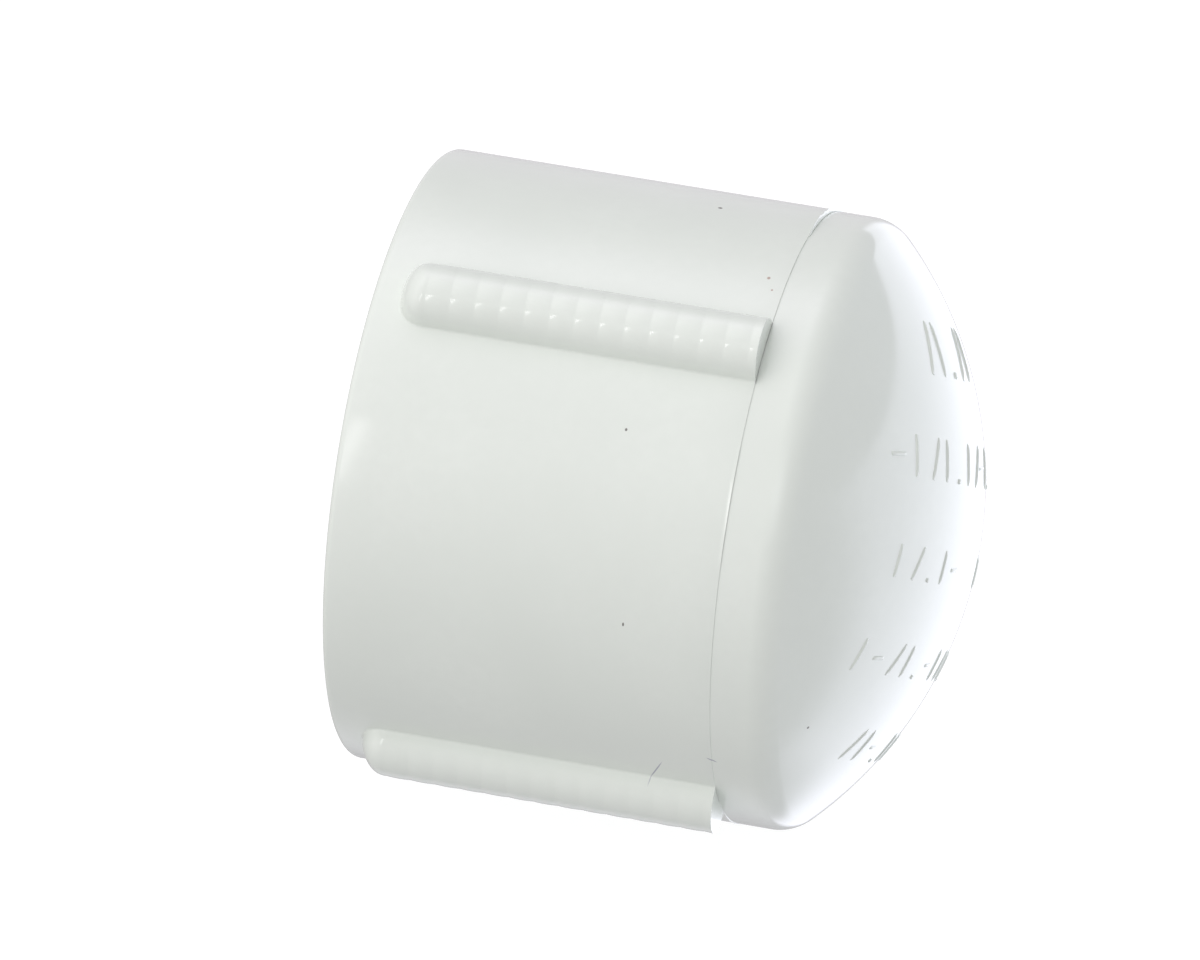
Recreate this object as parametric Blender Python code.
"""Slip-socket pipe cap, nominal 3/4 inch, Schedule 40, in glossy white PVC.

The cap lies on its side: the axis is the world X axis, the open mouth faces -X and the
domed end faces +X. The origin is on the axis, halfway between the mouth and the dome's top.
It rests on the barrel and on one grip rib, which chocks it.

The real cap is one injection moulding. It is built here as the pieces that its mould forms:
the ribbed socket barrel on one side of the mould's parting plane and the domed end on the
other, with each grip rib as a solid of its own.
"""

import math

import bmesh
import bpy

MM = 0.001

# Outside
BARREL_RADIUS = 16.65 * MM
BARREL_LENGTH = 21.2 * MM
OVERALL_LENGTH = 31.4 * MM
MOUTH_EDGE_RADIUS = 0.35 * MM
SHOULDER_STEP = 0.1 * MM
DOME_RADIUS = 22.5 * MM
DOME_CORNER_RADIUS = 2.3 * MM

# Socket, tapered so that a 3/4 inch pipe wedges before it reaches the stop
SOCKET_MOUTH_RADIUS = 13.435 * MM
SOCKET_FLOOR_RADIUS = 13.285 * MM
SOCKET_DEPTH = 18.3 * MM
SOCKET_LEAD_IN = 0.5 * MM
STOP_INNER_RADIUS = 11.9 * MM
BODY_WALL = 3.6 * MM
HOLLOW_CORNER_RADIUS = 2.5 * MM

# Grip ribs: half-round beads with a ball-shaped end towards the mouth
RIB_RADIUS = 1.83 * MM
RIB_HEIGHT = 1.7 * MM
RIB_START = 1.5 * MM
RIB_SPACING = math.radians(98.6)

# Pieces that meet keep this gap
GAP = 0.3 * MM

SEGMENTS = 72
EDGE_STEPS = 3
CORNER_STEPS = 4
DOME_STEPS = 9
RIB_NOSE_STEPS = 6
RIB_CREST_STEPS = 10
RIB_BASE_STEPS = 4
WELD = 0.001 * MM
SHARP_ANGLE = math.radians(30)

PVC_COLOUR = (0.86, 0.87, 0.85, 1.0)
PVC_ROUGHNESS = 0.22
PVC_IOR = 1.53

# Distance of a rib's own centre line from the cap's axis
RIB_CENTRE = BARREL_RADIUS + RIB_HEIGHT - RIB_RADIUS

# The rib that rests on the floor stands this far from straight down, where its round
# crest just touches the floor that carries the barrel.
CHOCK_ANGLE = math.acos((BARREL_RADIUS - RIB_RADIUS) / RIB_CENTRE)


def arc(centre, radius, start, end, steps):
    """Points (r, s) on an arc about centre, from angle start to end, measured from +r to +s."""
    points = []
    for i in range(steps + 1):
        angle = start + (end - start) * i / steps
        points.append((centre[0] + radius * math.cos(angle), centre[1] + radius * math.sin(angle)))
    return points


def dome_profile(wall_radius, corner_radius, dome_radius, top):
    """Points (r, s) from a straight wall over its rounded corner and along a dome to the axis."""
    dome_centre = top - dome_radius
    corner_r = wall_radius - corner_radius
    reach = dome_radius - corner_radius
    corner = (corner_r, dome_centre + math.sqrt(reach**2 - corner_r**2))
    meet = math.atan2(corner[1] - dome_centre, corner_r)
    points = arc(corner, corner_radius, 0.0, meet, CORNER_STEPS)
    points += arc((0.0, dome_centre), dome_radius, meet, math.pi / 2, DOME_STEPS)[1:-1]
    return points + [(0.0, top)]


def pvc(name):
    """A glossy moulded PVC material of its own for one sub-part."""
    material = bpy.data.materials.new(name)
    material.use_nodes = True
    material.diffuse_color = PVC_COLOUR
    shader = material.node_tree.nodes["Principled BSDF"]
    shader.inputs["Base Color"].default_value = PVC_COLOUR
    shader.inputs["Roughness"].default_value = PVC_ROUGHNESS
    shader.inputs["Metallic"].default_value = 0.0
    shader.inputs["IOR"].default_value = PVC_IOR
    return material


def cap_frame():
    """Empty whose local Z runs along the cap's axis from the mouth, so that s is local Z."""
    frame = bpy.data.objects.new("cap_axis", None)
    frame.location = (-OVERALL_LENGTH / 2, 0.0, 0.0)
    frame.rotation_euler = (0.0, math.pi / 2, 0.0)
    bpy.context.collection.objects.link(frame)
    return frame


def add_object(name, bm, frame):
    mesh = bpy.data.meshes.new(name)
    bm.to_mesh(mesh)
    bm.free()
    mesh.materials.append(pvc(name))
    mesh.shade_smooth()
    mesh.set_sharp_from_angle(angle=SHARP_ANGLE)
    obj = bpy.data.objects.new(name, mesh)
    obj.parent = frame
    bpy.context.collection.objects.link(obj)
    return obj


def turned(name, profile, closed, frame):
    """A solid of revolution from (r, s) points: a closed section, or one whose ends are on the axis."""
    bm = bmesh.new()
    # Half a step of turn puts a flat facet, and not a corner, on the floor.
    phase = math.pi / SEGMENTS
    vertices = [bm.verts.new((r * math.cos(phase), r * math.sin(phase), s)) for r, s in profile]
    edges = [bm.edges.new(pair) for pair in zip(vertices, vertices[1:])]
    if closed:
        edges.append(bm.edges.new((vertices[-1], vertices[0])))
    bmesh.ops.spin(
        bm,
        geom=vertices + edges,
        cent=(0.0, 0.0, 0.0),
        axis=(0.0, 0.0, 1.0),
        angle=math.tau,
        steps=SEGMENTS,
        use_merge=True,
    )
    bmesh.ops.remove_doubles(bm, verts=bm.verts, dist=WELD)
    bmesh.ops.recalc_face_normals(bm, faces=bm.faces)
    return add_object(name, bm, frame)


def socket_barrel(frame):
    """The tapered socket with its lead-in, its outer wall, and the ledge that stops the pipe."""
    edge = (BARREL_RADIUS - MOUTH_EDGE_RADIUS, MOUTH_EDGE_RADIUS)
    profile = [(SOCKET_MOUTH_RADIUS + SOCKET_LEAD_IN, 0.0)]
    profile += arc(edge, MOUTH_EDGE_RADIUS, -math.pi / 2, 0.0, EDGE_STEPS)
    profile += [
        (BARREL_RADIUS, BARREL_LENGTH),
        (STOP_INNER_RADIUS, BARREL_LENGTH),
        (STOP_INNER_RADIUS, SOCKET_DEPTH),
        (SOCKET_FLOOR_RADIUS, SOCKET_DEPTH),
        (SOCKET_MOUTH_RADIUS, SOCKET_LEAD_IN),
    ]
    return turned("socket_barrel", profile, True, frame)


def domed_end(frame):
    """The closed end: a straight shoulder, a rounded corner and a shallow dome over a hollow."""
    base = BARREL_LENGTH + GAP
    shoulder = BARREL_RADIUS - SHOULDER_STEP
    hollow_top = OVERALL_LENGTH - BODY_WALL
    outside = dome_profile(shoulder, DOME_CORNER_RADIUS, DOME_RADIUS, OVERALL_LENGTH)
    inside = dome_profile(STOP_INNER_RADIUS, HOLLOW_CORNER_RADIUS, DOME_RADIUS - BODY_WALL, hollow_top)
    # From the hollow's top on the axis, out through the open base, to the dome's top on the axis.
    profile = inside[::-1] + [(STOP_INNER_RADIUS, base), (shoulder, base)] + outside
    return turned("domed_end", profile, False, frame)


def rib_section(into_nose):
    """Section (out, side) of a rib, clockwise, at a distance back from where its round end starts."""
    base_radius = BARREL_RADIUS + GAP
    radius = math.sqrt(RIB_RADIUS**2 - max(0.0, into_nose) ** 2)
    half = math.acos((base_radius**2 + RIB_CENTRE**2 - radius**2) / (2 * base_radius * RIB_CENTRE))
    across = math.atan2(base_radius * math.sin(half), base_radius * math.cos(half) - RIB_CENTRE)
    section = []
    for i in range(RIB_CREST_STEPS + 1):
        turn = across - 2 * across * i / RIB_CREST_STEPS
        section.append((RIB_CENTRE + radius * math.cos(turn), radius * math.sin(turn)))
    for i in range(1, RIB_BASE_STEPS):
        turn = -half + 2 * half * i / RIB_BASE_STEPS
        section.append((base_radius * math.cos(turn), base_radius * math.sin(turn)))
    return section


def grip_rib(name, angle, frame):
    """One rib along the barrel at angle about the axis, from its ball-shaped end to the parting plane."""
    base_radius = BARREL_RADIUS + GAP
    nose = math.sqrt(RIB_RADIUS**2 - (base_radius - RIB_CENTRE) ** 2)
    nose_end = RIB_START + nose

    def vertex(out, side, s):
        """A point given by its distance from the axis along the rib's middle plane and beside it."""
        y = out * math.sin(angle) + side * math.cos(angle)
        return bm.verts.new((out * math.cos(angle) - side * math.sin(angle), y, s))

    bm = bmesh.new()
    tip = vertex(base_radius, 0.0, RIB_START)
    stations = [math.sin(math.pi / 2 * i / RIB_NOSE_STEPS) for i in range(1, RIB_NOSE_STEPS + 1)]
    rings = []
    for s in [RIB_START + nose * station**2 for station in stations] + [BARREL_LENGTH]:
        rings.append([vertex(out, side, s) for out, side in rib_section(nose_end - s)])
    count = len(rings[0])
    for i in range(count):
        after = (i + 1) % count
        bm.faces.new((tip, rings[0][i], rings[0][after]))
        for near, far in zip(rings, rings[1:]):
            bm.faces.new((near[i], far[i], far[after], near[after]))
    bm.faces.new(rings[-1])
    bmesh.ops.recalc_face_normals(bm, faces=bm.faces)
    return add_object(name, bm, frame)


def grip_ribs(frame):
    """Four ribs. The third touches the floor, the first is opposite it, and the fourth is midway."""
    # The frame's local X points straight down, and its local Y is the world's.
    third = CHOCK_ANGLE
    first = third + math.pi
    fourth = third + math.pi / 2
    for index, angle in enumerate((first, first + RIB_SPACING, third, fourth)):
        grip_rib(f"grip_rib_{index + 1}", angle, frame)


def main():
    for obj in list(bpy.data.objects):
        bpy.data.objects.remove(obj, do_unlink=True)
    frame = cap_frame()
    socket_barrel(frame)
    domed_end(frame)
    grip_ribs(frame)


main()
